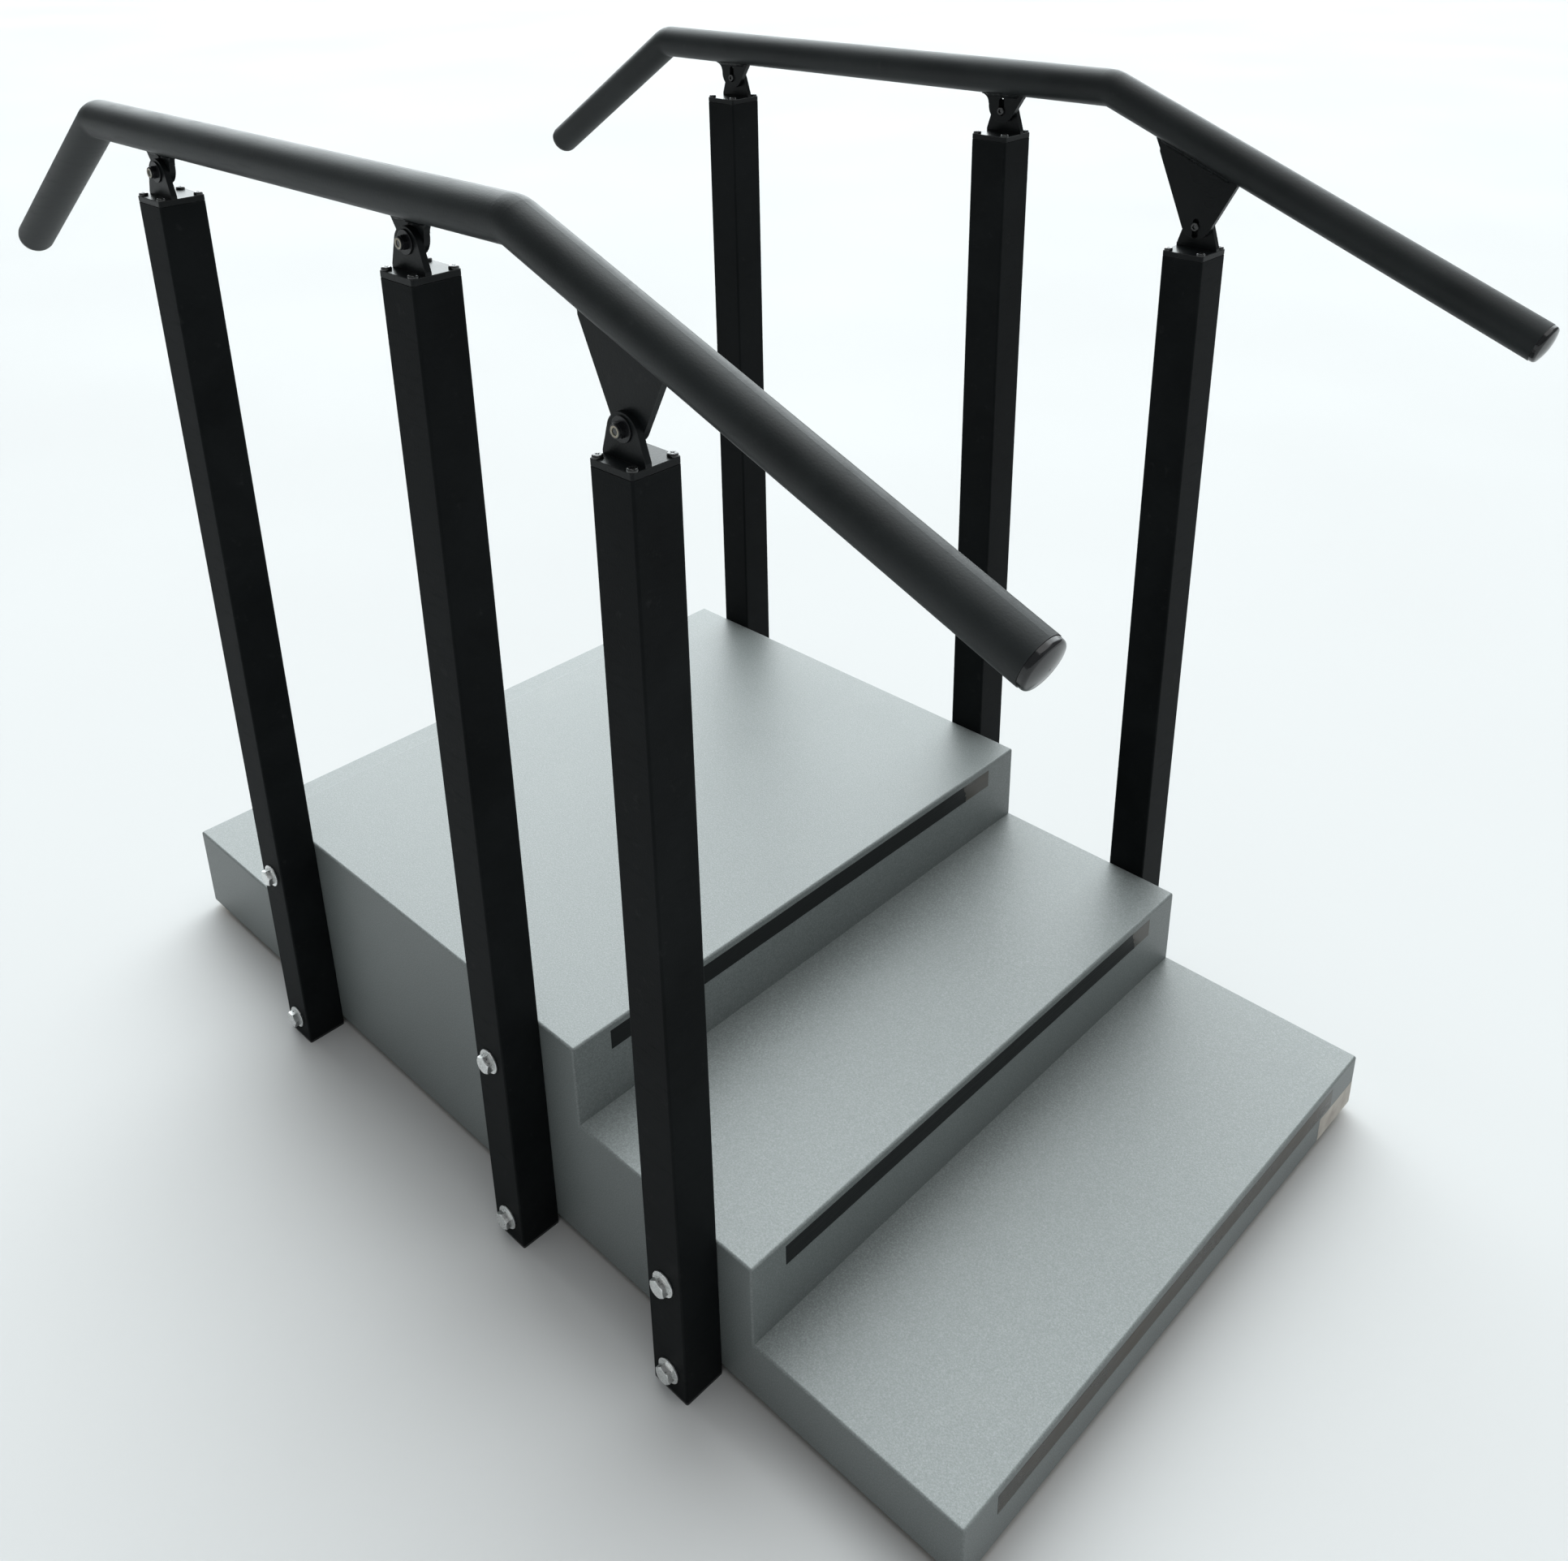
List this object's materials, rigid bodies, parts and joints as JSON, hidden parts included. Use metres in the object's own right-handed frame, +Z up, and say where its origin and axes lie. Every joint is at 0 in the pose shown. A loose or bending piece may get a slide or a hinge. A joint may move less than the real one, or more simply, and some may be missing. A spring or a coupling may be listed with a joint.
{
  "type": "mounting block with handrails",
  "caption": "Stepped mounting block with a raised platform, textured grip coating, square side posts and bent tube handrails whose slotted brackets bolt to the posts.",
  "frame": {"origin": "on the floor, below the centre of the bounding box", "axes": "+X along the length, towards the end with two low steps; +Z up; the left side is -Y"},
  "size_m": [1.5494, 0.9094, 1.2221],
  "materials": {
    "textured_coating": "fine textured sprayed coating, matte grey",
    "plywood": "raw birch plywood",
    "batten_wood": "planed softwood",
    "foot_rubber": "moulded black rubber",
    "label_paper": "worn blank paper label",
    "clear_tape": "see-through adhesive strip, brownish, semi-gloss",
    "black_tape": "black adhesive strip, satin",
    "post_paint": "black powder coat, fine orange peel, satin",
    "bracket_paint": "black powder coat over weld beads, semi-gloss",
    "rail_paint": "black powder coat, satin",
    "gloss_cap": "moulded glossy black plastic",
    "glide_plastic": "moulded black plastic",
    "black_screws": "black oxide, semi-gloss",
    "black_nuts": "black coated steel",
    "nylon": "off-white nylon",
    "zinc": "bright zinc plating"
  },
  "bodies": {
    "block": {"blank_label": "label_paper", "cap_screws": "black_screws", "clamp_bolts": "black_screws", "clamp_nut_rings": "nylon", "clamp_nuts": "black_nuts", "clamp_washers": "black_nuts", "foot_battens": "batten_wood", "foot_screws": "zinc", "front_bulkhead": "plywood", "left_front_post": "post_paint", "left_front_post_cap": "bracket_paint", "left_middle_post": "post_paint", "left_middle_post_cap": "bracket_paint", "left_rear_post": "post_paint", "left_rear_post_cap": "bracket_paint", "left_side_panel": "plywood", "lower_riser_tape": "clear_tape", "lower_step_riser": "plywood", "lower_tread": "plywood", "platform_deck": "plywood", "platform_front_riser": "plywood", "platform_rear_riser": "plywood", "platform_riser_tape": "black_tape", "post_bolt_nuts": "zinc", "post_bolt_washers": "zinc", "post_bolts": "zinc", "post_glides": "glide_plastic", "rear_bulkhead": "plywood", "rear_step_riser": "plywood", "rear_tread": "plywood", "right_front_post": "post_paint", "right_front_post_cap": "bracket_paint", "right_middle_post": "post_paint", "right_middle_post_cap": "bracket_paint", "right_rear_post": "post_paint", "right_rear_post_cap": "bracket_paint", "right_side_panel": "plywood", "rubber_feet": "foot_rubber", "step_coating": "textured_coating", "upper_riser_tape": "black_tape", "upper_step_riser": "plywood", "upper_tread": "plywood"},
    "left_handrail": {"left_front_rail_gusset": "bracket_paint", "left_handrail_tube": "rail_paint", "left_middle_rail_tab": "bracket_paint", "left_rail_front_plug": "gloss_cap", "left_rail_rear_plug": "gloss_cap", "left_rear_rail_tab": "bracket_paint"},
    "right_handrail": {"right_front_rail_gusset": "bracket_paint", "right_handrail_tube": "rail_paint", "right_middle_rail_tab": "bracket_paint", "right_rail_front_plug": "gloss_cap", "right_rail_rear_plug": "gloss_cap", "right_rear_rail_tab": "bracket_paint"}
  },
  "joints": [
    {"name": "left_handrail_height", "type": "slide", "parent": "block", "child": "left_handrail", "axis": [0, 0, 1], "range_m": [-0.001, 0.002]},
    {"name": "right_handrail_height", "type": "slide", "parent": "block", "child": "right_handrail", "axis": [0, 0, 1], "range_m": [-0.001, 0.002]}
  ]
}
